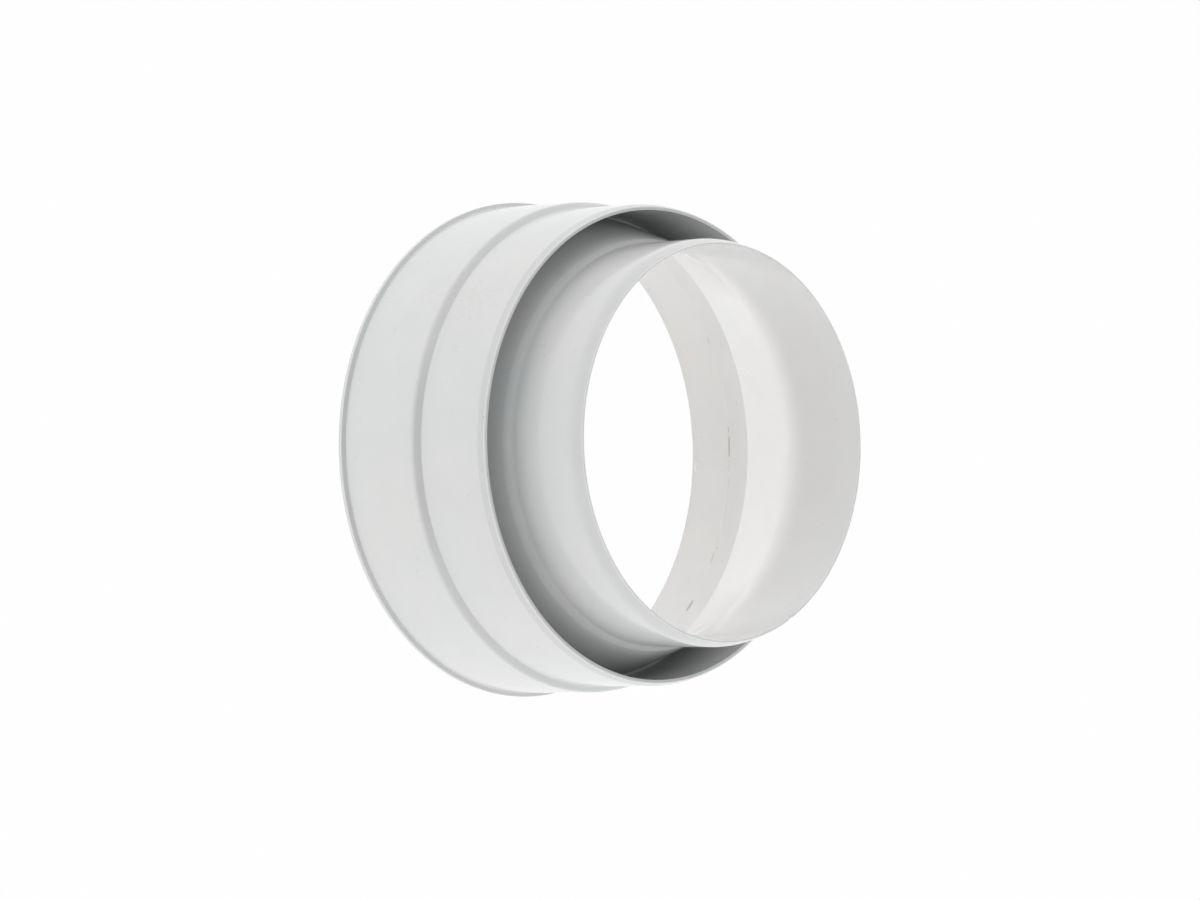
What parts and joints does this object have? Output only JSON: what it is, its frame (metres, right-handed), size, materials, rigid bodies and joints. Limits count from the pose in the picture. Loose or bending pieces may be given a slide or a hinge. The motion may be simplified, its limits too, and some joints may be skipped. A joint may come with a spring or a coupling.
{
  "type": "reducing collar",
  "caption": "Round plastic collar that joins ducts of two diameters, with a rear socket, a stepped sleeve and a narrower front spigot set in an open groove.",
  "frame": {"origin": "centre of the rear rim's flat face, on the axis", "axes": "+Z along the axis from the socket to the spigot; the part is round, so X and Y may point anywhere across it"},
  "size_m": [0.1588, 0.1588, 0.0903],
  "materials": {
    "grey_plastic": "satin"
  },
  "bodies": {
    "root": {"reducing_collar": "grey_plastic"}
  },
  "joints": []
}
